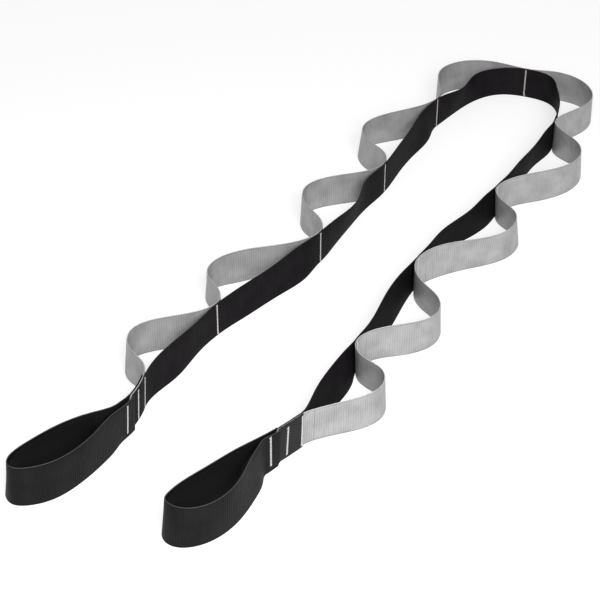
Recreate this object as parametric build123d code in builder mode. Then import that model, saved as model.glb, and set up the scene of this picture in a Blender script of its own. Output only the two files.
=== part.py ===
"""Stretching strap: one long webbing with ten hand loops and a padded loop at each end.

The strap stands on its edge and is folded into a U, loops outwards.  Millimetres, +Z up.
The origin is under the middle of the strap, on the plane that the two padded loops stand on.
Headings run along the strap, from the left padded loop round the bend to the right one, so
the outside of the U is always on the left-hand side of the heading.
"""

import os
from math import hypot

from build123d import *

os.makedirs("parts", exist_ok=True)

# Webbing, padding and thread
STRAP_WIDTH = 38.0  # 1 1/2 in webbing: base and loops
HANDLE_WIDTH = 44.5  # 1 3/4 in webbing: padded end loops
WEBBING_THICKNESS = 1.2
PADDING_THICKNESS = 2.5
PADDING_WIDTH = 42.0
LABEL_THICKNESS = 0.8
THREAD_THICKNESS = 0.4
PLY_GAP = 0.1  # air left between two layers that lie on each other
PADDING_GAP = 0.3  # the same, round the bend of a padded loop
PADDING_START = 0.1  # share of the loop's length between its neck and its padding
PADDING_STATIONS = 24  # places where the padding's line is set off from its webbing

# The strap is sewn centrally into the wider handle webbing, so its edge is lifted
STRAP_BOTTOM = (HANDLE_WIDTH - STRAP_WIDTH) / 2
PADDING_BOTTOM = (HANDLE_WIDTH - PADDING_WIDTH) / 2

# Stitch rows: a row is a dense zigzag from edge to edge, less a small margin
ROW_MARGIN = 1.5
ROW_LENGTH = STRAP_WIDTH - 2 * ROW_MARGIN
ROW_WIDTH = 2.5
TACK_RADIUS = (2 * WEBBING_THICKNESS + PLY_GAP) / 2 + 0.05
TACK_CLEARANCE = 0.4  # between a tack and the cell that turns about it

# Neck of a padded loop, measured from the hinge row towards the loop
SECOND_ROW = 18.5
HANDLE_WEBBING_START = 28.5
THIRD_ROW = 40.0
NECK_LENGTH = 45.0

# Where the layers of the stack lie, outwards from the hinge line
BASE_LAYER = -(WEBBING_THICKNESS + PLY_GAP) / 2
LOOP_LAYER = -BASE_LAYER
LABEL_LAYER = LOOP_LAYER + WEBBING_THICKNESS / 2 + PLY_GAP + LABEL_THICKNESS / 2
INNER_HANDLE_LAYER = BASE_LAYER - WEBBING_THICKNESS - PLY_GAP
OUTER_HANDLE_LAYER = LABEL_LAYER + (LABEL_THICKNESS + WEBBING_THICKNESS) / 2 + PLY_GAP

# Plan of the tacked rows, from the left padded loop to the right one
TACKS = [
    (-74, -301), (-78, -167), (-52, -3), (-57, 157), (-71, 325), (-8, 450),
    (72, 343), (73, 173), (58, 3), (69, -152), (78, -278),
]
# The way each neck points at its padded loop
LEFT_NECK_POINT = (-69, -345)
RIGHT_NECK_POINT = (66, -321)

# Slack of the base webbing between one tack and the next
BASE_BENDS = [
    [(-77, -248), (-78, -199)],
    [(-70, -126), (-60, -76), (-54, -37)],
    [(-51, 33), (-52, 75), (-58, 115)],
    [(-61, 203), (-65, 248), (-69, 294)],
    [(-61, 367), (-57, 406), (-36, 438)],
    [(26, 446), (44, 425), (59, 387)],
    [(70, 301), (71, 237)],
    [(70, 135), (53, 69), (61, 43)],
    [(58, -31), (62, -69), (68, -128)],
    [(72, -197), (69, -231), (80, -256)],
]
# Drape of each hand loop, from its first tack to its second
LOOP_BENDS = [
    [(-84, -285), (-111, -271), (-126, -245), (-107, -210)],
    [(-89, -144), (-111, -129), (-122, -109), (-110, -81), (-80, -46)],
    [(-65, 22), (-95, 41), (-110, 70), (-91, 107)],
    [(-68, 178), (-101, 197), (-120, 226), (-99, 271)],
    [(-84, 359), (-99, 398), (-86, 429), (-49, 449)],
    [(26, 460), (68, 453), (90, 415), (77, 367)],
    [(86, 327), (114, 311), (127, 277), (102, 225), (79, 195)],
    [(82, 157), (111, 137), (118, 102), (91, 61), (65, 27)],
    [(76, -28), (106, -48), (116, -75), (97, -107), (73, -134)],
    [(82, -169), (111, -181), (122, -203), (102, -244), (86, -264)],
]
# Outline of each padded loop, from the inner end of its webbing to the outer one
LEFT_HANDLE_BENDS = [
    (-65, -380), (-67, -415), (-85, -454), (-103, -463), (-115, -451), (-98, -394), (-82, -367),
]
RIGHT_HANDLE_BENDS = [
    (59, -334), (53, -352), (40, -388), (30, -423), (48, -442), (66, -428), (78, -387), (73, -354), (69, -334),
]


def direction(start, end):
    """Unit vector in plan from start to end."""
    run = hypot(end[0] - start[0], end[1] - start[1])
    return ((end[0] - start[0]) / run, (end[1] - start[1]) / run)


def beside(point, heading, along, outwards):
    """The place so far along a heading and so far out of the U from a point."""
    x = point[0] + heading[0] * along - heading[1] * outwards
    y = point[1] + heading[1] * along + heading[0] * outwards
    return (x, y)


def tack_heading(index):
    """Heading of the strap where it is tacked: the line through the slack on both sides."""
    if index == 0:
        return direction(LEFT_NECK_POINT, TACKS[0])
    if index == len(TACKS) - 1:
        return direction(TACKS[-1], RIGHT_NECK_POINT)
    return direction(BASE_BENDS[index - 1][-1], BASE_BENDS[index][0])


def finish(part, name):
    """Label one piece and write its file."""
    part.label = name
    export_step(part, f"parts/{name}.step")


def cell_webbing(cell, bends, layer, name):
    """Strap webbing of one cell, from beside one tack to the next, standing on its edge."""
    first_heading = tack_heading(cell)
    last_heading = tack_heading(cell + 1)
    start = beside(TACKS[cell], first_heading, TACK_RADIUS + TACK_CLEARANCE, layer)
    clearance = TACK_CLEARANCE if cell + 2 == len(TACKS) else 0
    end = beside(TACKS[cell + 1], last_heading, -TACK_RADIUS - clearance, layer)
    with BuildPart() as webbing:
        with BuildSketch(Plane.XY.offset(STRAP_BOTTOM)):
            with BuildLine():
                Spline(start, *bends, end, tangents=(first_heading, last_heading))
            trace(line_width=WEBBING_THICKNESS)
        extrude(amount=STRAP_WIDTH)
    finish(webbing.part, name)


def tack_row(index, name):
    """Row of thread through both webbings: the line that two cells turn about."""
    with BuildPart() as thread:
        with BuildSketch(Plane.XY.offset(STRAP_BOTTOM + ROW_MARGIN)):
            with Locations(TACKS[index]):
                Circle(TACK_RADIUS)
        extrude(amount=ROW_LENGTH)
    finish(thread.part, name)


def neck_layer(hinge, heading, inwards, layer, thickness, name):
    """Straight end of one layer, from the hinge row to its end inside the handle webbing."""
    start = beside(hinge, heading, inwards * TACK_RADIUS, layer)
    end = beside(hinge, heading, inwards * NECK_LENGTH, layer)
    with BuildPart() as ply:
        with BuildSketch(Plane.XY.offset(STRAP_BOTTOM)):
            with BuildLine():
                Line(start, end)
            trace(line_width=thickness)
        extrude(amount=STRAP_WIDTH)
    finish(ply.part, name)


def neck_row(hinge, heading, along, inner_face, outer_face, name):
    """Row of thread that shows on the inner and the outer face of the stack."""
    with BuildPart() as thread:
        with BuildSketch(Plane.XY.offset(STRAP_BOTTOM + ROW_MARGIN)):
            for face, side in ((inner_face, -1), (outer_face, 1)):
                middle = face + side * THREAD_THICKNESS / 2
                with BuildLine():
                    Line(
                        beside(hinge, heading, along - ROW_WIDTH / 2, middle),
                        beside(hinge, heading, along + ROW_WIDTH / 2, middle),
                    )
                trace(line_width=THREAD_THICKNESS)
        extrude(amount=ROW_LENGTH)
    finish(thread.part, name)


def padded_loop(hinge, heading, inwards, bends, side):
    """Handle webbing of one padded loop, and the neoprene that lines it."""
    into_loop = (heading[0] * inwards, heading[1] * inwards)
    out_of_loop = (-into_loop[0], -into_loop[1])
    inner_end = beside(hinge, heading, inwards * HANDLE_WEBBING_START, INNER_HANDLE_LAYER)
    inner_neck = beside(hinge, heading, inwards * NECK_LENGTH, INNER_HANDLE_LAYER)
    outer_neck = beside(hinge, heading, inwards * NECK_LENGTH, OUTER_HANDLE_LAYER)
    outer_end = beside(hinge, heading, inwards * HANDLE_WEBBING_START, OUTER_HANDLE_LAYER)

    with BuildPart() as webbing:
        with BuildSketch():
            with BuildLine():
                Line(inner_end, inner_neck)
                loop = Spline(inner_neck, *bends, outer_neck, tangents=(into_loop, out_of_loop))
                Line(outer_neck, outer_end)
            trace(line_width=WEBBING_THICKNESS)
        extrude(amount=HANDLE_WIDTH)
    finish(webbing.part, f"{side}_handle_webbing")

    depth = inwards * (WEBBING_THICKNESS / 2 + PADDING_GAP + PADDING_THICKNESS / 2)
    lining = []
    for index in range(PADDING_STATIONS + 1):
        station = PADDING_START + (1 - 2 * PADDING_START) * index / PADDING_STATIONS
        place, way = loop.position_at(station), loop.tangent_at(station)
        lining.append((place.X - way.Y * depth, place.Y + way.X * depth))
    with BuildPart() as padding:
        with BuildSketch(Plane.XY.offset(PADDING_BOTTOM)):
            with BuildLine():
                Spline(*lining)
            trace(line_width=PADDING_THICKNESS)
        extrude(amount=PADDING_WIDTH)
    finish(padding.part, f"{side}_handle_padding")


for cell in range(len(BASE_BENDS)):
    cell_webbing(cell, BASE_BENDS[cell], BASE_LAYER, f"base_webbing_{cell + 1}")
    cell_webbing(cell, LOOP_BENDS[cell], LOOP_LAYER, f"hand_loop_{cell + 1}")

for tack in range(1, len(TACKS) - 1):
    tack_row(tack, f"tack_row_{tack}")

for side, end, inwards, bends in (
    ("left", 0, -1, LEFT_HANDLE_BENDS),
    ("right", len(TACKS) - 1, 1, RIGHT_HANDLE_BENDS),
):
    hinge, heading = TACKS[end], tack_heading(end)
    neck_layer(hinge, heading, inwards, BASE_LAYER, WEBBING_THICKNESS, f"{side}_base_end")
    neck_layer(hinge, heading, inwards, LOOP_LAYER, WEBBING_THICKNESS, f"{side}_loop_webbing_end")
    neck_layer(hinge, heading, inwards, LABEL_LAYER, LABEL_THICKNESS, f"{side}_label")
    tack_row(end, f"{side}_hinge_row")
    base_face = BASE_LAYER - WEBBING_THICKNESS / 2
    label_face = LABEL_LAYER + LABEL_THICKNESS / 2
    neck_row(hinge, heading, inwards * SECOND_ROW, base_face, label_face, f"{side}_neck_row")
    inner_face = INNER_HANDLE_LAYER - WEBBING_THICKNESS / 2
    outer_face = OUTER_HANDLE_LAYER + WEBBING_THICKNESS / 2
    neck_row(hinge, heading, inwards * THIRD_ROW, inner_face, outer_face, f"{side}_handle_row")
    padded_loop(hinge, heading, inwards, bends, side)
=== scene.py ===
from math import ceil, cos, pi, radians, sin

import bpy
import numpy as np
from mathutils import Matrix, Vector


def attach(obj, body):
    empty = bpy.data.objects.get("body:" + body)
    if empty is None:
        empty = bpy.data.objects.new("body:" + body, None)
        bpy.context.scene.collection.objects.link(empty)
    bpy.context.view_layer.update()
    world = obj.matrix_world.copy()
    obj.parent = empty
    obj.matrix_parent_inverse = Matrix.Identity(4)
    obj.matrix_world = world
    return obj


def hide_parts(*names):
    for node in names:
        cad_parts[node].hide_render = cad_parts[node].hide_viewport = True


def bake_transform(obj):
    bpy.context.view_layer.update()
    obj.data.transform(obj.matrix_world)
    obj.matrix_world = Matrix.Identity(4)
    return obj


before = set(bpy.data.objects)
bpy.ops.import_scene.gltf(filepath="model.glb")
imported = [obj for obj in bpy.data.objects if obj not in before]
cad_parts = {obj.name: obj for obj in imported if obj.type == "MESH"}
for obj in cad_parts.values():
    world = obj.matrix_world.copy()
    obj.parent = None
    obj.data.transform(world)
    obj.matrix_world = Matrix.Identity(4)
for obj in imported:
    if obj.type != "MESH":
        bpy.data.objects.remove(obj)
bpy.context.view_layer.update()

MM = 0.001

# ---------------------------------------------------------------- sizes, in millimetres
STRAP_WIDTH = 38.0
HANDLE_WIDTH = 44.5
LABEL_WIDTH = 39.4
LINING_WIDTH = 42.0
WEBBING_THICKNESS = 1.2
LABEL_THICKNESS = 0.8
LINING_THICKNESS = 2.5

# Where the layers lie, outwards from the line that the strap bends about
BASE_LAYER = -0.65
LOOP_LAYER = 0.65
LABEL_LAYER = 1.75
INNER_HANDLE_LAYER = -1.95
OUTER_HANDLE_LAYER = 2.85

# Neck of a padded loop, from its hinge row towards the loop
SECOND_ROW = 18.5
HANDLE_WEBBING_START = 28.5
THIRD_ROW = 40.0
NECK_LENGTH = 45.0
LABEL_OVERHANG = 1.2

NECK_HEIGHT = 3.25  # the strap is sewn centrally into the wider handle webbing
REST_HEIGHT = 0.4  # elsewhere it lies on the floor

RIB_PITCH = 2.4  # crosswise ribs of the webbing
STATIONS_PER_RIB = 4
SPLINE_STEP = 0.5  # longest step between the points of a smooth line
RIB_SHAPE = (-0.06, 0.01, 0.05, 0.01)  # relief over one rib, from valley to valley
SEWN_RIBS = 6  # ribs on each side of a tack that belong to the sewn piece
TUCK = 4.5  # how far the plies of a neck draw in, top and bottom, inside the handle webbing
TUCK_RUN = 4.0
PINCH = 0.3  # share of its thickness that a webbing loses under a row of stitches
PINCH_REACH = 1.7
CLEARANCE = 0.02
SQUEEZED = (1 - PINCH) * WEBBING_THICKNESS / 2 + CLEARANCE  # from a squeezed ply's middle to its face

# Padded loops: the handle webbing's top edge is drawn down at its ends, and rises from there
TOP_DROP = 3.7
TOP_GATHER = 60.0
LINING_START = 0.1  # share of the loop that is left bare at each end of the lining
LINING_GAP = 0.15
LINING_LOW = 0.4  # the lining lies low in the webbing: its share of the margin below

# Stitching
STITCH_PITCH = 0.85
STITCH_HALF_WIDTH = 1.15
THREAD_RADIUS = 0.36
ROW_MARGINS = (1.5, 1.5)  # from the bottom and the top edge of the strap to a row's ends
LOCK_STITCHES = 3  # the lock at a row's end: this many crossings, each wider on one side
LOCK_EXTRA = 0.9
# Share of the way across, and height over the face: down in a needle hole, then on the surface
CROSSING = ((0.0, -0.12), (0.25, 0.2), (0.75, 0.2))

# ---------------------------------------------------------------- plan of the strap, in millimetres
TACKS = [
    (-74, -301), (-78, -167), (-52, -3), (-57, 157), (-71, 325), (-8, 450),
    (72, 343), (73, 173), (58, 3), (69, -152), (78, -278),
]
LAST_TACK = len(TACKS) - 1
TACK_LEANS = (-1.0, 0.0, 0.0, 0.0, 0.0, 0.0, 0.0, -1.0, 0.0, -0.6, 0.6)  # of the rows of stitches
# Which way the necks head, in degrees from straight across the U: at the hinge row and at the loop
LEFT_NECK_TURN = (20.0, -4.0)
RIGHT_NECK_TURN = (-14.0, -18.0)

# (x, y, lean): the top edge leans this far to the left of the way along the list, and the bottom
# edge as far to the right. On the two long webbings, left is outwards.
BASE_BENDS = [
    [(-77, -248, 2.5), (-78, -199, -0.5)],
    [(-70, -126, 1.0), (-60, -76, 2.0), (-54, -37, 4.0)],
    [(-51, 33, -2.5), (-52, 75, -4.5), (-58, 115, 0.0)],
    [(-61, 203, 0.0), (-65, 248, 1.5), (-69, 294, 4.0)],
    [(-61, 367, -4.5), (-57, 406, -0.5), (-36, 438, -1.0)],
    [(26, 446, -0.5), (44, 425, -2.0), (59, 387, 1.5)],
    [(72, 322, 0.0), (70.9, 297, 2.2), (71.4, 262, 2.4), (71.6, 233, 1.4), (72.8, 200, 0.5)],
    [(71.3, 153, -2.1), (66.6, 116, 0.9), (59, 84, 2.4), (57.4, 57, 0.4), (58, 31, 0.0)],
    [(58, -31, -2.0), (62, -69, -3.5), (68, -128, -0.5)],
    [(70.5, -170, -3.6), (72.7, -202, -5.2), (75.2, -238, -3.0), (78, -262, -0.5)],
]
LOOP_BENDS = [
    [(-84, -285, 0.0), (-111, -271, -1.5), (-126, -245, -1.5), (-107, -210, 0.5)],
    [(-89, -144, 0.5), (-111, -129, 0.0), (-122, -109, -2.5), (-110, -81, 0.5), (-80, -46, -1.5)],
    [(-65, 22, 1.0), (-95, 41, -0.5), (-110, 70, -1.0), (-91, 107, 0.0)],
    [(-68, 178, -0.5), (-101, 197, -1.0), (-120, 226, -2.5), (-99, 271, 1.0)],
    [(-84, 359, -0.5), (-99, 398, 0.0), (-86, 429, 1.0), (-49, 449, 0.0)],
    [(26, 460, 0.5), (68, 453, -2.0), (90, 415, 0.0), (77, 367, 0.0)],
    [(86, 327, -0.5), (114, 311, -2.5), (127, 277, 0.0), (102, 225, -0.5), (79, 195, 0.0)],
    [(82, 157, -2.0), (111, 137, -3.0), (118, 102, 0.5), (91, 61, 1.0), (65, 27, -1.0)],
    [(76, -28, -1.5), (106, -48, -2.0), (116, -75, 0.5), (97, -107, 0.0), (73, -134, 0.5)],
    [(82, -169, -1.5), (111, -181, -1.5), (122, -203, -0.5), (102, -244, 0.5), (86, -264, 1.0)],
]
# The padded loops' lists run out along the inner ply of the neck and come back along the outer one
LEFT_HANDLE_BENDS = [
    (-65.5, -362, 0.2), (-64.4, -380, 0.6), (-66.2, -415.4, 1.7), (-84.6, -454.8, 1.1),
    (-103, -463, -0.3), (-113.4, -452, -3.9), (-109.9, -428, -3.3), (-98.3, -394, -2.6),
    (-82, -367, -1.5),
]
RIGHT_HANDLE_BENDS = [
    (59, -334, 1.0), (53, -351, 1.6), (41.2, -389, 1.6), (33.4, -412, 2.7),
    (31.3, -425, 3.2), (34.6, -433.9, 1.9), (43, -438.0, 1.4), (59.8, -433.0, -0.2),
    (71.2, -419.2, -0.9), (78.2, -387.7, -0.1), (74, -354, 2.0), (70, -335, 1.6),
]


# ---------------------------------------------------------------- lines in plan
def direction(start, end):
    """Unit vector in plan from start to end."""
    way = np.array(end[:2], float) - np.array(start[:2], float)
    return way / np.linalg.norm(way)


def left_of(way):
    """The direction on the left-hand side of a heading, which is outwards from the U."""
    return np.array([-way[1], way[0]])


def beside(point, heading, along, outwards):
    """The place so far along a heading and so far out of the U from a point."""
    return np.array(point[:2], float) + heading * along + left_of(heading) * outwards


def towards_loop(turn):
    """Unit vector of a neck that heads straight across the U, turned by so many degrees."""
    return np.array([sin(radians(turn)), -cos(radians(turn))])


def tack_heading(index):
    """Heading of the strap where it is tacked: the line through the slack on both sides."""
    if index == 0:
        return -towards_loop(LEFT_NECK_TURN[0])
    if index == LAST_TACK:
        return towards_loop(RIGHT_NECK_TURN[0])
    return direction(BASE_BENDS[index - 1][-1], BASE_BENDS[index][0])


def in_neck(index, distance):
    """Middle and heading of a neck, so far from its hinge row: it bends evenly along its length."""
    first, last = LEFT_NECK_TURN if index == 0 else RIGHT_NECK_TURN
    turn = first + (last - first) * distance / NECK_LENGTH
    middle = np.array(TACKS[index], float) + towards_loop((first + turn) / 2) * distance
    return middle, towards_loop(turn) * (-1 if index == 0 else 1)


def smooth_step(share):
    """0 to 1 with a soft start and end."""
    share = np.clip(share, 0, 1)
    return share * share * (3 - 2 * share)


def spline(points, first_way, last_way):
    """Smooth (x, y, lean) line through the points, with a given heading at both ends."""
    knots = np.array(points, float)
    gaps = np.linalg.norm(np.diff(knots[:, :2], axis=0), axis=1)
    count = len(knots)
    system = np.eye(count)
    wanted = np.zeros((count, 3))
    wanted[0, :2], wanted[-1, :2] = first_way, last_way
    for i in range(1, count - 1):
        before, after = gaps[i - 1], gaps[i]
        system[i, i - 1:i + 2] = after, 2 * (before + after), before
        slope_before = (knots[i] - knots[i - 1]) / before
        slope_after = (knots[i + 1] - knots[i]) / after
        wanted[i] = 3 * (after * slope_before + before * slope_after)
    slopes = np.linalg.solve(system, wanted)
    line = [knots[:1]]
    for i, gap in enumerate(gaps):
        t = np.linspace(0, 1, ceil(gap / SPLINE_STEP) + 1)[1:, None]
        line.append(
            knots[i] * (1 + 2 * t) * (1 - t) ** 2 + slopes[i] * gap * t * (1 - t) ** 2
            + knots[i + 1] * t * t * (3 - 2 * t) + slopes[i + 1] * gap * t * t * (t - 1)
        )
    return np.vstack(line)


def run_lengths(line):
    """Distance along a line at each of its points."""
    return np.concatenate([[0], np.cumsum(np.linalg.norm(np.diff(line[:, :2], axis=0), axis=1))])


def outwards_along(line):
    """Unit headings along a line, and the directions on their left-hand side."""
    ways = np.gradient(line[:, :2], axis=0)
    ways /= np.linalg.norm(ways, axis=1)[:, None]
    return ways, np.stack([-ways[:, 1], ways[:, 0]], axis=1)


def in_ribs(line):
    """The line again, with a whole number of ribs along it."""
    along = run_lengths(line)
    ribs = round(along[-1] / RIB_PITCH)
    at = np.linspace(0, along[-1], ribs * STATIONS_PER_RIB + 1)
    return np.stack([np.interp(at, along, line[:, k]) for k in range(3)], axis=1)


# ---------------------------------------------------------------- meshes
def make_object(name, verts, faces, uvs, flat_faces, materials):
    """A mesh object in metres with a UV map: distance along and across, in metres."""
    mesh = bpy.data.meshes.new(name)
    mesh.from_pydata((np.asarray(verts) * MM).tolist(), [], faces)
    smooth = np.ones(len(faces), bool)
    smooth[flat_faces] = False
    mesh.polygons.foreach_set("use_smooth", smooth)
    corner_verts = np.zeros(len(mesh.loops), np.int32)
    mesh.loops.foreach_get("vertex_index", corner_verts)
    layer = mesh.uv_layers.new(name="along_across")
    layer.data.foreach_set("uv", (np.asarray(uvs) * MM)[corner_verts].astype(np.float32).ravel())
    for material in materials:
        mesh.materials.append(material)
    piece = bpy.data.objects.new(name, mesh)
    bpy.context.scene.collection.objects.link(piece)
    return piece


def edge_lines(line, bottom, width):
    """Bottom edge, upwards and outwards directions at each station of an (x, y, lean) line."""
    ways, out = outwards_along(line)
    lean = line[:, 2:3]
    bottom = np.broadcast_to(np.asarray(bottom, float), (len(line),))[:, None]
    width = np.broadcast_to(np.asarray(width, float), (len(line),))[:, None]
    rise = np.sqrt(width ** 2 - (2 * lean) ** 2)
    low = np.hstack([line[:, :2] - out * lean, bottom])
    high = np.hstack([line[:, :2] + out * lean, bottom + rise])
    up = (high - low) / width
    face_out = np.cross(up, np.hstack([ways, np.zeros((len(line), 1))]))
    face_out /= np.linalg.norm(face_out, axis=1)[:, None]
    return low, up, face_out


def webbing_section(width, thickness, centre_line):
    """(distance from the bottom edge, half thickness, share of the rib relief) across a webbing.

    Each woven edge is a rounded cord with a shallow groove beside it, and centre_line is the depth of
    the dip along the middle.
    """
    half = thickness / 2
    edge = [(0.0, 0.0, 0), (0.12, 0.42, 0), (0.42, 0.8, 0), (0.95, 1.0, 0), (1.5, 0.8, 0.3), (2.1, 0.95, 1)]
    middle = [(width / 4, 0.97, 1), (width / 2 - 1.1, 0.97, 1), (width / 2, 0.97 - centre_line, 1)]
    half_section = edge + middle
    mirrored = [(width - v, h, r) for v, h, r in reversed(half_section[:-1])]
    return [(v, h * half, r) for v, h, r in half_section + mirrored]


def flat_section(width, thickness, roundness):
    """The same for a plain ply with softly rounded edges."""
    half = thickness / 2
    edge = [(0.0, 0.0, 0), (0.1 * roundness, 0.5, 0), (0.4 * roundness, 0.85, 0), (roundness, 1.0, 0)]
    half_section = edge + [(width / 4, 1.0, 0)]
    mirrored = [(width - v, h, r) for v, h, r in reversed(half_section)]
    return [(v, h * half, r) for v, h, r in half_section + mirrored]


def ribbon(name, line, bottom, width, section, material, pinch=None):
    """A webbing on its edge along a line: ribs, thicker edges and closed ends."""
    low, up, out = edge_lines(line, bottom, width)
    relief = np.array(RIB_SHAPE)[np.arange(len(line)) % STATIONS_PER_RIB]
    squeeze = np.ones(len(line)) if pinch is None else pinch
    across = np.array([v for v, _, _ in section])
    gathered = np.broadcast_to(np.asarray(width, float), (len(line),)) / across[-1]
    half = np.array([h for _, h, _ in section])
    share = np.array([r for _, _, r in section])
    thick = half[None] * squeeze[:, None] + share[None] * relief[:, None]
    thick[:, [0, -1]] = 0
    middle = low[:, None] + up[:, None] * (gathered[:, None] * across[None])[:, :, None]
    outer = middle + out[:, None] * thick[:, :, None]
    inner = middle - out[:, None] * thick[:, :, None]
    rings = np.concatenate([outer, inner[:, -2:0:-1]], axis=1)
    stations, points = rings.shape[:2]
    order = list(range(len(section))) + list(range(len(section) - 2, 0, -1))
    uvs = np.zeros((stations, points, 2))
    uvs[:, :, 0] = (np.arange(stations) * RIB_PITCH / STATIONS_PER_RIB)[:, None]
    uvs[:, :, 1] = across[order][None]
    faces = []
    for i in range(stations - 1):
        for k in range(points):
            a, b = i * points + k, i * points + (k + 1) % points
            faces.append((a, b, b + points, a + points))
    sides = len(faces)
    last = len(section) - 1
    for ring, turned in ((0, False), (stations - 1, True)):
        at = [ring * points + k for k in range(points)]
        for k in range(last):
            quad = [at[k], at[(points - k) % points], at[(points - k - 1) % points], at[k + 1]]
            corners = list(dict.fromkeys(quad))
            faces.append(tuple(reversed(corners) if turned else corners))
    caps = np.arange(sides, len(faces))
    return make_object(name, rings.reshape(-1, 3), faces, uvs.reshape(-1, 2), caps, [material])


def tube(path, out, radius, sides=6):
    """Vertices and faces of a thread along a path, closed at both ends."""
    ways = np.gradient(path, axis=0)
    ways /= np.linalg.norm(ways, axis=1)[:, None]
    side = np.cross(ways, out)
    side /= np.linalg.norm(side, axis=1)[:, None]
    top = np.cross(side, ways)
    angles = np.arange(sides) * 2 * pi / sides
    rings = (
        path[:, None]
        + side[:, None] * (np.cos(angles) * radius)[None, :, None]
        + top[:, None] * (np.sin(angles) * radius)[None, :, None]
    )
    faces = [
        (i * sides + k, i * sides + (k + 1) % sides, (i + 1) * sides + (k + 1) % sides, (i + 1) * sides + k)
        for i in range(len(path) - 1)
        for k in range(sides)
    ]
    faces.append(tuple(range(sides - 1, -1, -1)))
    faces.append(tuple((len(path) - 1) * sides + k for k in range(sides)))
    return rings.reshape(-1, 3), faces


# ---------------------------------------------------------------- materials
# Weave, in millimetres
YARN_WIDTH = 0.95
EDGE_HIGHLIGHT_BAND = (0.25, 0.6)  # the painted highlight on the edge cords fades out between these distances from the edge
RIBS_BEGIN = (1.2, 1.9)  # and the ribs fade in between these
# painted shade along the middle crease fades out between these distances from the middle
CREASE_SHADE_BAND = (0.2, 0.9)
SATIN_PITCH = 0.5
WALE_PITCH = 0.9
COURSE_PITCH = 0.8
THREAD_TWIST = 0.7


class Shade:
    """A short way to write a node material on a piece's along_across map."""

    def __init__(self, name):
        """A new material with its principled shader."""
        self.material = bpy.data.materials.new(name)
        self.material.use_nodes = True
        self.tree = self.material.node_tree
        self.shader = self.tree.nodes["Principled BSDF"]

    def node(self, kind, **settings):
        """A new node with some of its settings."""
        made = self.tree.nodes.new(kind)
        for key, value in settings.items():
            setattr(made, key, value)
        return made

    def link(self, output, target):
        """Drives a socket from another one, or sets it to a number."""
        if isinstance(output, (int, float)):
            target.default_value = output
        else:
            self.tree.links.new(output, target)

    def math(self, operation, *values, clamp=False):
        """One step of arithmetic."""
        made = self.node("ShaderNodeMath", operation=operation, use_clamp=clamp)
        for socket, value in zip(made.inputs, values):
            self.link(value, socket)
        return made.outputs[0]

    def along_across(self):
        """Distance along and across the piece, in metres."""
        uv = self.node("ShaderNodeUVMap", uv_map="along_across")
        parts = self.node("ShaderNodeSeparateXYZ")
        self.link(uv.outputs[0], parts.inputs[0])
        return parts.outputs[0], parts.outputs[1]

    def noise(self, scale, detail=2.0, stretch=None):
        """Soft unevenness, in space or stretched along and across the piece."""
        made = self.node("ShaderNodeTexNoise")
        made.inputs["Scale"].default_value = scale
        made.inputs["Detail"].default_value = detail
        place = self.node("ShaderNodeTexCoord").outputs["Object"]
        if stretch is not None:
            uv = self.node("ShaderNodeUVMap", uv_map="along_across")
            mapping = self.node("ShaderNodeMapping")
            mapping.inputs["Scale"].default_value = (*stretch, 1)
            self.link(uv.outputs[0], mapping.inputs[0])
            place = mapping.outputs[0]
        self.link(place, made.inputs["Vector"])
        return made.outputs[0]

    def blend(self, share, low, high):
        """A colour between two others."""
        made = self.node("ShaderNodeMix", data_type="RGBA")
        self.link(share, made.inputs["Factor"])
        first_colour, second_colour = made.inputs[6:8]
        for socket, colour in ((first_colour, low), (second_colour, high)):
            if isinstance(colour, tuple):
                socket.default_value = (*colour, 1)
            else:
                self.link(colour, socket)
        return made.outputs[2]

    def bump(self, height, distance, strength):
        """Fine relief on the surface."""
        made = self.node("ShaderNodeBump")
        made.inputs["Strength"].default_value = strength
        made.inputs["Distance"].default_value = distance
        self.link(height, made.inputs["Height"])
        self.link(made.outputs[0], self.shader.inputs["Normal"])

    def range(self, value, low, high, to_low, to_high):
        """A value moved from one range to another, and held within it."""
        made = self.node("ShaderNodeMapRange")
        for socket, number in zip(made.inputs, (value, low, high, to_low, to_high)):
            self.link(number, socket)
        return made.outputs[0]


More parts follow.
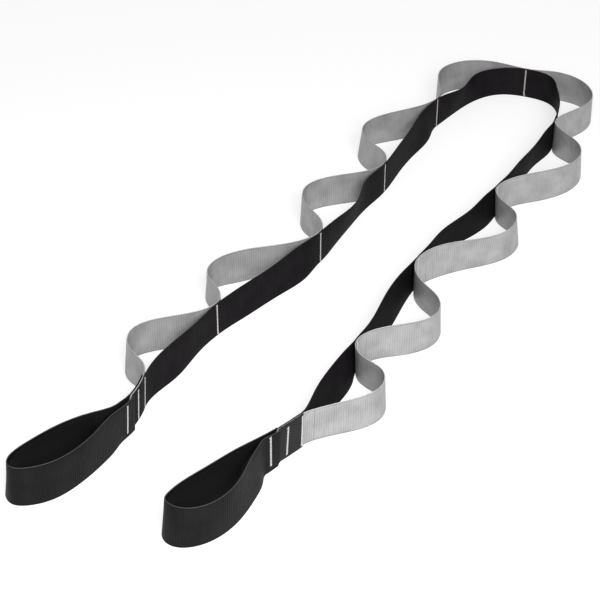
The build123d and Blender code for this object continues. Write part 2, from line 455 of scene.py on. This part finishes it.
def webbing_material(name, width, valley, crest, edge_highlight, fibre, roughness, specular, sheen):
    """Woven webbing: crosswise ribs, each a row of yarn floats that step sideways from rib to rib."""
    shade = Shade(name)
    along, across = shade.along_across()
    pitch, yarn = RIB_PITCH * MM, YARN_WIDTH * MM

    # Each rib is rounded, and its yarn floats sit half a yarn beside the last rib's
    rib = shade.math("ABSOLUTE", shade.math("SINE", shade.math("MULTIPLY", along, pi / pitch)))
    crown = shade.math("POWER", rib, 0.6)
    index = shade.math("FLOOR", shade.math("DIVIDE", along, pitch))
    sideways = shade.math("MULTIPLY", across, 2 * pi / yarn)
    phase = shade.math("ADD", sideways, shade.math("MULTIPLY", index, pi))
    floats = shade.math("MULTIPLY_ADD", shade.math("SINE", phase), 0.5, 0.5)
    inset = shade.math("MINIMUM", across, shade.math("SUBTRACT", width * MM, across))
    body = shade.range(inset, RIBS_BEGIN[0] * MM, RIBS_BEGIN[1] * MM, 0.0, 1.0)

    # Fine filaments, and ribs that are firmer in some places than in others
    filaments = shade.noise(1.0, 2.0, stretch=(900, 5200))
    uneven = shade.noise(1.0, 1.0, stretch=(260, 45))
    weave = shade.math("MULTIPLY", crown, shade.math("MULTIPLY_ADD", floats, 0.45, 0.55))
    firm = shade.math("MULTIPLY", body, shade.range(uneven, 0.3, 0.7, 0.72, 1.1))
    height = shade.math("MULTIPLY_ADD", weave, firm, shade.math("MULTIPLY", filaments, 0.35))

    # Painted shade along the middle crease, large soft blotches of tone that are partly painted satin
    # sheen, and a painted highlight along both edges
    centre = shade.math("ABSOLUTE", shade.math("SUBTRACT", across, 0.5 * width * MM))
    # painted shade: the woven tone is darker along the middle crease
    crease_shade = shade.range(centre, CREASE_SHADE_BAND[0] * MM, CREASE_SHADE_BAND[1] * MM, 0.86, 1.0)
    woven = shade.math("MULTIPLY", shade.math("MULTIPLY", height, crease_shade), 0.62)
    # soft random blotches of tone: partly uneven tone of the cloth, partly painted satin sheen patches
    blotch = shade.range(shade.noise(55.0, 3.0), 0.3, 0.7, 0.05, 0.95)
    tone = shade.math("MULTIPLY_ADD", blotch, 0.5, woven, clamp=True)
    cloth = shade.blend(tone, valley, crest)
    # painted highlight: the colour is lighter along both edge cords of the webbing
    edge = shade.range(inset, EDGE_HIGHLIGHT_BAND[0] * MM, EDGE_HIGHLIGHT_BAND[1] * MM, 1.0, 0.0)
    colour = shade.blend(edge, cloth, edge_highlight)
    shade.link(colour, shade.shader.inputs["Base Color"])

    # The gloss of the yarn, stretched across the ribs
    rough = shade.range(filaments, 0.3, 0.7, roughness - 0.07, roughness + 0.07)
    shade.link(rough, shade.shader.inputs["Roughness"])
    shade.shader.inputs["Specular IOR Level"].default_value = specular
    shade.shader.inputs["Sheen Weight"].default_value = sheen
    shade.shader.inputs["Sheen Roughness"].default_value = 0.45
    shade.shader.inputs["Sheen Tint"].default_value = (*fibre, 1)
    shade.shader.inputs["Anisotropic"].default_value = 0.6
    shade.shader.inputs["Anisotropic Rotation"].default_value = 0.25
    tangent = shade.node("ShaderNodeTangent", direction_type="UV_MAP", uv_map="along_across")
    shade.link(tangent.outputs[0], shade.shader.inputs["Tangent"])
    shade.bump(height, 0.16 * MM, 0.8)
    return shade.material


def label_material():
    """Black satin label: a fine close weave."""
    shade = Shade("label_satin")
    along, across = shade.along_across()
    warp = shade.math("SINE", shade.math("MULTIPLY", along, 2 * pi / (SATIN_PITCH * MM)))
    weft = shade.math("SINE", shade.math("MULTIPLY", across, 2 * pi / (SATIN_PITCH * MM)))
    weave = shade.math("MULTIPLY_ADD", shade.math("MULTIPLY", warp, weft), 0.5, 0.5)
    blotch = shade.noise(60.0, 3.0)
    tone = shade.math("MULTIPLY_ADD", weave, 0.4, shade.math("MULTIPLY", blotch, 0.6), clamp=True)
    colour = shade.blend(tone, (0.009, 0.009, 0.0097), (0.032, 0.032, 0.034))
    shade.link(colour, shade.shader.inputs["Base Color"])
    shade.link(shade.range(weave, 0.0, 1.0, 0.62, 0.5), shade.shader.inputs["Roughness"])
    shade.shader.inputs["Specular IOR Level"].default_value = 0.3
    shade.bump(weave, 0.05 * MM, 0.7)
    return shade.material


def lining_material():
    """Neoprene with a knitted jersey face: matt, with small interlocking stitches."""
    shade = Shade("neoprene_jersey")
    along, across = shade.along_across()
    wales = shade.math("MULTIPLY", along, pi / (WALE_PITCH * MM))
    wale = shade.math("ABSOLUTE", shade.math("SINE", wales))
    course = shade.math("MULTIPLY_ADD", wale, 0.45, shade.math("DIVIDE", across, COURSE_PITCH * MM))
    loops = shade.math("ABSOLUTE", shade.math("SINE", shade.math("MULTIPLY", course, pi)))
    knit = shade.math("MULTIPLY", shade.math("POWER", wale, 0.5), shade.math("POWER", loops, 0.5))
    blotch = shade.noise(45.0, 3.0)
    tone = shade.math("MULTIPLY_ADD", knit, 0.45, shade.math("MULTIPLY", blotch, 0.55), clamp=True)
    colour = shade.blend(tone, (0.0038, 0.0038, 0.0038), (0.0125, 0.012, 0.0125))
    shade.link(colour, shade.shader.inputs["Base Color"])
    shade.link(shade.range(blotch, 0.3, 0.7, 0.78, 0.92), shade.shader.inputs["Roughness"])
    shade.shader.inputs["Specular IOR Level"].default_value = 0.18
    shade.shader.inputs["Sheen Weight"].default_value = 0.02
    shade.bump(knit, 0.12 * MM, 0.7)
    return shade.material


def thread_material(name, dark, light):
    """Twisted polyester thread."""
    shade = Shade(name)
    along, across = shade.along_across()
    lay = shade.math("MULTIPLY", along, 2 * pi / (THREAD_TWIST * MM))
    turn = shade.math("ADD", lay, shade.math("MULTIPLY", across, 2 * pi))
    twist = shade.math("MULTIPLY_ADD", shade.math("SINE", turn), 0.5, 0.5)
    blotch = shade.noise(300.0, 2.0)
    tone = shade.math("MULTIPLY_ADD", twist, 0.5, shade.math("MULTIPLY", blotch, 0.5), clamp=True)
    shade.link(shade.blend(tone, dark, light), shade.shader.inputs["Base Color"])
    shade.link(shade.range(twist, 0.0, 1.0, 0.6, 0.45), shade.shader.inputs["Roughness"])
    shade.bump(twist, 0.05 * MM, 0.6)
    return shade.material


# The lighter edge colour of each webbing is a painted highlight along both its edges
BASE_FABRIC = webbing_material(
    "black_webbing", STRAP_WIDTH,
    valley=(0.0060, 0.0053, 0.0060), crest=(0.0220, 0.0196, 0.0220), edge_highlight=(0.050, 0.048, 0.050),
    fibre=(0.5, 0.5, 0.55), roughness=0.58, specular=0.1, sheen=0.0,
)
HANDLE_FABRIC = webbing_material(
    "black_handle_webbing", HANDLE_WIDTH,
    valley=(0.0055, 0.0051, 0.0055), crest=(0.0220, 0.0204, 0.0220), edge_highlight=(0.085, 0.081, 0.084),
    fibre=(0.5, 0.5, 0.55), roughness=0.48, specular=0.16, sheen=0.0,
)
LOOP_FABRIC = webbing_material(
    "grey_webbing", STRAP_WIDTH,
    valley=(0.193, 0.193, 0.195), crest=(0.395, 0.395, 0.395), edge_highlight=(0.46, 0.46, 0.46),
    fibre=(1.0, 1.0, 1.0), roughness=0.40, specular=0.7, sheen=0.03,
)
LABEL_FABRIC = label_material()
LINING = lining_material()
THREAD = thread_material("grey_thread", (0.36, 0.36, 0.35), (0.66, 0.66, 0.64))

STRAP_SECTION = webbing_section(STRAP_WIDTH, WEBBING_THICKNESS, centre_line=0.07)
HANDLE_SECTION = webbing_section(HANDLE_WIDTH, WEBBING_THICKNESS, centre_line=0.0)
LABEL_SECTION = flat_section(LABEL_WIDTH, LABEL_THICKNESS, roundness=0.5)
LINING_SECTION = flat_section(LINING_WIDTH, LINING_THICKNESS, roundness=1.1)


# ---------------------------------------------------------------- the two long webbings
def neck_bottom(cell, share):
    """Height of the strap's bottom edge: lifted at the padded loops' necks, on the floor elsewhere."""
    if cell == 0:
        lifted = 1 - smooth_step(share)
    elif cell == len(BASE_BENDS) - 1:
        lifted = smooth_step(share)
    else:
        lifted = share * 0
    return REST_HEIGHT + (NECK_HEIGHT - REST_HEIGHT) * lifted


def cell_line(cell, bends, layer):
    """(x, y, lean) stations of one webbing from one tack to the next, and its bottom edge's height."""
    first, last = tack_heading(cell), tack_heading(cell + 1)
    start = beside(TACKS[cell], first, 0, layer)
    end = beside(TACKS[cell + 1], last, 0, layer)
    ends = (*start, TACK_LEANS[cell]), (*end, TACK_LEANS[cell + 1])
    line = in_ribs(spline([ends[0], *bends, ends[1]], first, last))
    return line, neck_bottom(cell, np.linspace(0, 1, len(line)))


def pinch_at(count, middle, step):
    """How much a row of stitches squeezes the webbing round it."""
    away = (np.arange(count) - middle) * step
    return 1 - PINCH * np.exp(-((away / PINCH_REACH) ** 2))


def rigid(piece, body, slot, *nodes):
    """The piece moves with one body."""
    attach(piece, body)
    if nodes:
        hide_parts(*nodes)


def bending(piece, index, slot, *nodes):
    """The piece at one tack keeps its place: its placement is baked into its mesh, and the given parts are
    hidden.
    """
    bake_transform(piece)
    if nodes:
        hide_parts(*nodes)


def neck_lean(distance, lean, last_lean):
    """Lean so far along a neck: it changes over the handle webbing's ends."""
    covered = NECK_LENGTH - HANDLE_WEBBING_START
    return lean + (last_lean - lean) * smooth_step((distance - HANDLE_WEBBING_START) / covered)


def neck_line(index, layer, start, end, leans=None):
    """Line along the neck of a padded loop, between two distances from its hinge row."""
    lean, last_lean = leans or (TACK_LEANS[index], TACK_LEANS[index])
    stations = round((end - start) / RIB_PITCH) * STATIONS_PER_RIB + 1
    line = []
    for distance in np.linspace(start, end, stations):
        middle, heading = in_neck(index, distance)
        line.append((*beside(middle, heading, 0, layer), neck_lean(distance, lean, last_lean)))
    return np.array(line[::-1] if index == 0 else line)


def tucked(line, index, width):
    """Bottom edge and width of a ply in a neck: drawn in where the handle webbing covers it."""
    along = run_lengths(line)
    to_end = along if index == 0 else along[-1] - along
    covered = NECK_LENGTH - HANDLE_WEBBING_START
    drawn_in = TUCK * smooth_step((covered - to_end) / TUCK_RUN)
    return NECK_HEIGHT - (width - STRAP_WIDTH) / 2 + drawn_in, width - 2 * drawn_in


def long_webbing(bends_of_cells, layer, fabric, slot, cell_name, sewn_name, end_name, node, end_node):
    """One webbing from end to end: a run in every cell, and a sewn piece at every tack."""
    cells = [cell_line(cell, bends, layer) for cell, bends in enumerate(bends_of_cells)]
    sewn = SEWN_RIBS * STATIONS_PER_RIB
    for cell, (line, bottom) in enumerate(cells):
        inside = slice(sewn, len(line) - sewn)
        piece = ribbon(
            f"{cell_name}_{cell + 1}", line[inside], bottom[inside], STRAP_WIDTH, STRAP_SECTION, fabric
        )
        rigid(piece, f"cell_{cell + 1}", slot, f"{node}_{cell + 1}")
    left_neck, right_neck = [
        (line, np.full(len(line), NECK_HEIGHT))
        for line in (neck_line(0, layer, 0, NECK_LENGTH), neck_line(LAST_TACK, layer, 0, NECK_LENGTH))
    ]
    stretches = [left_neck, *cells, right_neck]
    for index in range(len(TACKS)):
        (before, before_bottom), (after, after_bottom) = stretches[index:index + 2]
        line = np.vstack([before[-sewn - 1:], after[1:sewn + 1]])
        bottom = np.concatenate([before_bottom[-sewn - 1:], after_bottom[1:sewn + 1]])
        pinch = pinch_at(len(line), sewn, RIB_PITCH / STATIONS_PER_RIB)
        piece = ribbon(f"{sewn_name}_{index}", line, bottom, STRAP_WIDTH, STRAP_SECTION, fabric, pinch)
        bending(piece, index, slot)
    tails = (("left", 0, left_neck[0][:-sewn]), ("right", LAST_TACK, right_neck[0][sewn:]))
    for side, index, inside in tails:
        bottom, width = tucked(inside, index, STRAP_WIDTH)
        piece = ribbon(f"{side}_{end_name}", inside, bottom, width, STRAP_SECTION, fabric)
        rigid(piece, f"{side}_handle", slot, f"{side}_{end_node}")


long_webbing(
    BASE_BENDS, BASE_LAYER, BASE_FABRIC, "base_webbing", "base_run", "base_at_tack", "base_tail",
    "base_webbing", "base_end",
)
long_webbing(
    LOOP_BENDS, LOOP_LAYER, LOOP_FABRIC, "loop_webbing", "hand_loop_run", "loop_at_tack", "loop_tail",
    "hand_loop", "loop_webbing_end",
)


# ---------------------------------------------------------------- stitching
def zigzag(place, heading, bottom, face, side, hook, margins, slant, lean):
    """Dense zigzag from edge to edge on one face of the stack.

    It has a wider lock at its bottom end where hook is -1, and at its top end where hook is 1.
    """
    rise = STRAP_WIDTH - sum(margins)
    crossings = round(rise / STITCH_PITCH)
    out = left_of(heading) * side
    path = []
    for k in range(crossings + 1):
        foot = bottom + margins[0] + rise * k / crossings
        swing = -STITCH_HALF_WIDTH if k % 2 else STITCH_HALF_WIDTH
        next_swing = -swing
        from_lock = k if hook < 0 else crossings - k
        if hook and from_lock < LOCK_STITCHES and swing > 0:
            swing += LOCK_EXTRA
        for share, lift in CROSSING if k < crossings else CROSSING[:1]:
            along = swing + (next_swing - swing) * share + slant * (2 * k / crossings - 1)
            height = foot + rise / crossings * share
            tilt = lean * (2 * (height - bottom) / STRAP_WIDTH - 1)
            x, y = beside(place, heading, along, tilt) + out * (face + lift)
            path.append((x, y, height))
    return np.array(path), np.array([*out, 0.0])


def stitch_row(
    name, place, heading, bottom, inner_face, outer_face,
    hooks=(0, 0), margins=ROW_MARGINS, slant=0.0, leans=(0.0, 0.0),
):
    """One row of thread through the stack, seen on both faces."""
    verts, faces, uvs = [], [], []
    count = 0
    for face, side, hook, lean in zip((inner_face, outer_face), (-1, 1), hooks, leans):
        path, out = zigzag(place, heading, bottom, face, side, hook, margins, slant, lean)
        points, quads = tube(path, out, THREAD_RADIUS)
        verts.append(points)
        faces += [tuple(v + count for v in quad) for quad in quads]
        travelled = np.concatenate([[0], np.cumsum(np.linalg.norm(np.diff(path, axis=0), axis=1))])
        sides = len(points) // len(path)
        around = np.tile(np.arange(sides) / sides / MM, len(path))
        uvs.append(np.stack([np.repeat(travelled, sides), around], axis=1))
        count += len(points)
    return make_object(name, np.vstack(verts), faces, np.vstack(uvs), [], [THREAD])


def tack_rows():
    """The rows between the cells, with their locks at the bottom and at the top by turns."""
    for index in range(1, LAST_TACK):
        row = stitch_row(
            f"tack_stitching_{index}", TACKS[index], tack_heading(index), REST_HEIGHT,
            -BASE_LAYER + SQUEEZED, LOOP_LAYER + SQUEEZED,
            hooks=(-1 if index % 2 else 1, 0), leans=(TACK_LEANS[index],) * 2,
        )
        bending(row, index, "thread", f"tack_row_{index}")


tack_rows()


# ---------------------------------------------------------------- the two padded loops
def gathered_edges(along, gather, clear=0.0):
    """Bottom edge and width along the handle webbing, gathered to the strap's width at its ends.

    gather is how far from the end its bottom edge starts to drop, and over what length it drops.
    """
    from_end = np.minimum(along, along[-1] - along) + clear
    start, run = gather
    bottom = NECK_HEIGHT * (1 - smooth_step((from_end - start) / run))
    top = HANDLE_WIDTH - TOP_DROP * (1 - smooth_step(from_end / TOP_GATHER))
    return bottom, top - bottom


def neck_cover(side, index):
    """The label round the outside of a neck."""
    line = neck_line(index, LABEL_LAYER, -LABEL_OVERHANG, NECK_LENGTH)
    bottom, width = tucked(line, index, LABEL_WIDTH)
    piece = ribbon(f"{side}_label_wrap", line, bottom, width, LABEL_SECTION, LABEL_FABRIC)
    bending(piece, index, "label", f"{side}_label")


def neck_rows(side, index, margins, slant, end_leans):
    """The three rows of a neck: at its hinge, in its middle and through the handle webbing."""
    inwards = -1 if index == 0 else 1
    lean = TACK_LEANS[index]
    label_face = LABEL_LAYER + LABEL_THICKNESS / 2
    row = stitch_row(
        f"{side}_hinge_stitching", TACKS[index], tack_heading(index), NECK_HEIGHT,
        -BASE_LAYER + SQUEEZED, label_face, leans=(lean, lean),
    )
    bending(row, index, "thread", f"{side}_hinge_row")

    row = stitch_row(
        f"{side}_neck_stitching", *in_neck(index, SECOND_ROW), NECK_HEIGHT,
        -BASE_LAYER + WEBBING_THICKNESS / 2, label_face,
        hooks=(0, 1), margins=margins[0], slant=-inwards * slant, leans=(lean, lean),
    )
    rigid(row, f"{side}_handle", "thread", f"{side}_neck_row")

    last_leans = end_leans[0] * inwards, -end_leans[1] * inwards
    third_leans = [neck_lean(THIRD_ROW, lean, last_lean) for last_lean in last_leans]
    row = stitch_row(
        f"{side}_handle_stitching", *in_neck(index, THIRD_ROW), NECK_HEIGHT,
        -INNER_HANDLE_LAYER + WEBBING_THICKNESS / 2, OUTER_HANDLE_LAYER + WEBBING_THICKNESS / 2,
        hooks=(0, 1), margins=margins[1], leans=third_leans,
    )
    rigid(row, f"{side}_handle", "thread", f"{side}_handle_row")


def handle_line(index, bends, end_leans):
    """The handle webbing's line: from the neck round the loop and back into the neck.

    Also the part of it outside the neck.
    """
    inwards = -1 if index == 0 else 1
    lean = TACK_LEANS[index] * inwards
    ends = (HANDLE_WEBBING_START, NECK_LENGTH)
    inner = neck_line(index, INNER_HANDLE_LAYER, *ends, (lean, end_leans[0]))
    outer = neck_line(index, OUTER_HANDLE_LAYER, *ends, (-lean, end_leans[1]))
    if index == 0:
        inner, outer = inner[::-1], outer[::-1]
    into_loop = in_neck(index, NECK_LENGTH)[1] * inwards
    loop = spline([inner[-1], *bends, outer[-1]], into_loop, -into_loop)
    return in_ribs(np.vstack([inner[:-1], loop, outer[-2::-1]])), loop


def lining_line(index, loop):
    """The line of the lining inside a loop, and how far it starts from the handle webbing's end."""
    inwards = -1 if index == 0 else 1
    depth = inwards * (WEBBING_THICKNESS / 2 + LINING_GAP + LINING_THICKNESS / 2)
    along = run_lengths(loop)
    share = along / along[-1]
    line = loop.copy()
    line[:, :2] += outwards_along(loop)[1] * depth
    lined = (share > LINING_START) & (share < 1 - LINING_START)
    return in_ribs(line[lined]), along[-1] * LINING_START + NECK_LENGTH - HANDLE_WEBBING_START


def padded_loop(side, index, bends, gather, margins, slant, end_leans):
    """One end of the strap, with the leans of the inner and the outer ply where the loop starts."""
    neck_cover(side, index)
    neck_rows(side, index, margins, slant, end_leans)

    line, loop = handle_line(index, bends, end_leans)
    bottom, width = gathered_edges(run_lengths(line), gather)
    piece = ribbon(f"{side}_handle_strap", line, bottom, width, HANDLE_SECTION, HANDLE_FABRIC)
    rigid(piece, f"{side}_handle", "handle_webbing", f"{side}_handle_webbing")

    line, clear = lining_line(index, loop)
    bottom, width = gathered_edges(run_lengths(line), gather, clear)
    margin = (HANDLE_WIDTH - LINING_WIDTH) / 2
    low, width = bottom + LINING_LOW * margin, width - 2 * margin
    piece = ribbon(f"{side}_handle_lining", line, low, width, LINING_SECTION, LINING)
    rigid(piece, f"{side}_handle", "padding", f"{side}_handle_padding")


padded_loop(
    "left", 0, LEFT_HANDLE_BENDS, gather=(-1.0, 1.0),
    margins=((1.5, 1.5), (1.5, 3.5)), slant=0.0, end_leans=(1.5, 0.2),
)
padded_loop(
    "right", LAST_TACK, RIGHT_HANDLE_BENDS, gather=(0.5, 2.5),
    margins=((3.0, 3.5), (3.5, 1.5)), slant=0.5, end_leans=(0.6, 0.2),
)


# ---------------------------------------------------------------- floor, light and camera
FLOOR_REACH = 12.0  # from here on, lengths are in metres
FLOOR_GREY = 0.35
FLOOR_GLOW = 0.7
GAMMA = 0.8
WORLD_STRENGTH = 0.4
FILL_STRENGTH = 0.55
FILL_ANGLE = radians(40)
FILL_PLACE = (0.9, -1.0, 1.5)
KEY_POWER = 24
KEY_SIZE = (0.9, 0.7)
KEY_PLACE = (0.70, -1.00, 0.95)
KEY_TARGET = (0.0, -0.05, 0.0)
CAMERA_AZIMUTH = radians(28.989)
CAMERA_ELEVATION = radians(35)
CAMERA_ROLL = -0.00378
CAMERA_PLACE = (0.6094, -1.2388, 0.9324)
LENS = 95.64  # in millimetres, as is the sensor
SENSOR_WIDTH = 36


def floor():
    """A plain white floor."""
    mesh = bpy.data.meshes.new("floor")
    corners = [(x * FLOOR_REACH, y * FLOOR_REACH, 0) for x, y in ((-1, -1), (1, -1), (1, 1), (-1, 1))]
    mesh.from_pydata(corners, [], [(0, 1, 2, 3)])
    shade = Shade("floor_white")
    shade.shader.inputs["Base Color"].default_value = (FLOOR_GREY, FLOOR_GREY, FLOOR_GREY, 1)
    shade.shader.inputs["Emission Color"].default_value = (1, 1, 1, 1)
    shade.shader.inputs["Emission Strength"].default_value = FLOOR_GLOW
    shade.shader.inputs["Roughness"].default_value = 1.0
    shade.shader.inputs["Specular IOR Level"].default_value = 0.0
    mesh.materials.append(shade.material)
    piece = bpy.data.objects.new("floor", mesh)
    bpy.context.scene.collection.objects.link(piece)


def aim(thing, place, target):
    """Puts a lamp at a place, facing a target."""
    thing.location = place
    thing.rotation_euler = (Vector(target) - Vector(place)).to_track_quat("-Z", "Y").to_euler()


def studio():
    """White surroundings, a soft sun and a large soft lamp beside the camera."""
    scene = bpy.context.scene
    scene.view_settings.view_transform = "Standard"
    scene.view_settings.gamma = GAMMA
    world = bpy.data.worlds.new("studio")
    scene.world = world
    world.use_nodes = True
    background = world.node_tree.nodes["Background"]
    background.inputs["Color"].default_value = (1, 1, 1, 1)
    background.inputs["Strength"].default_value = WORLD_STRENGTH
    sun = bpy.data.objects.new("fill", bpy.data.lights.new("fill", "SUN"))
    sun.data.energy = FILL_STRENGTH
    sun.data.angle = FILL_ANGLE
    scene.collection.objects.link(sun)
    aim(sun, FILL_PLACE, (0, 0, 0))
    key = bpy.data.objects.new("key", bpy.data.lights.new("key", "AREA"))
    key.data.shape = "RECTANGLE"
    key.data.size, key.data.size_y = KEY_SIZE
    key.data.energy = KEY_POWER
    key.visible_camera = False
    scene.collection.objects.link(key)
    aim(key, KEY_PLACE, KEY_TARGET)


def camera():
    """The view from the right-hand padded loop's side, slightly rolled."""
    scene = bpy.context.scene
    data = bpy.data.cameras.new("camera")
    data.lens = LENS
    data.sensor_width = SENSOR_WIDTH
    thing = bpy.data.objects.new("camera", data)
    scene.collection.objects.link(thing)
    ahead = Vector((-sin(CAMERA_AZIMUTH), cos(CAMERA_AZIMUTH), 0))
    forward = ahead * cos(CAMERA_ELEVATION) - Vector((0, 0, sin(CAMERA_ELEVATION)))
    level = Vector((cos(CAMERA_AZIMUTH), sin(CAMERA_AZIMUTH), 0))
    down = forward.cross(level)
    right = level * cos(CAMERA_ROLL) + down * sin(CAMERA_ROLL)
    up = right.cross(forward)
    turn = Matrix((right, up, -forward)).transposed()
    thing.matrix_world = Matrix.Translation(CAMERA_PLACE) @ turn.to_4x4()
    scene.camera = thing


floor()
studio()
camera()
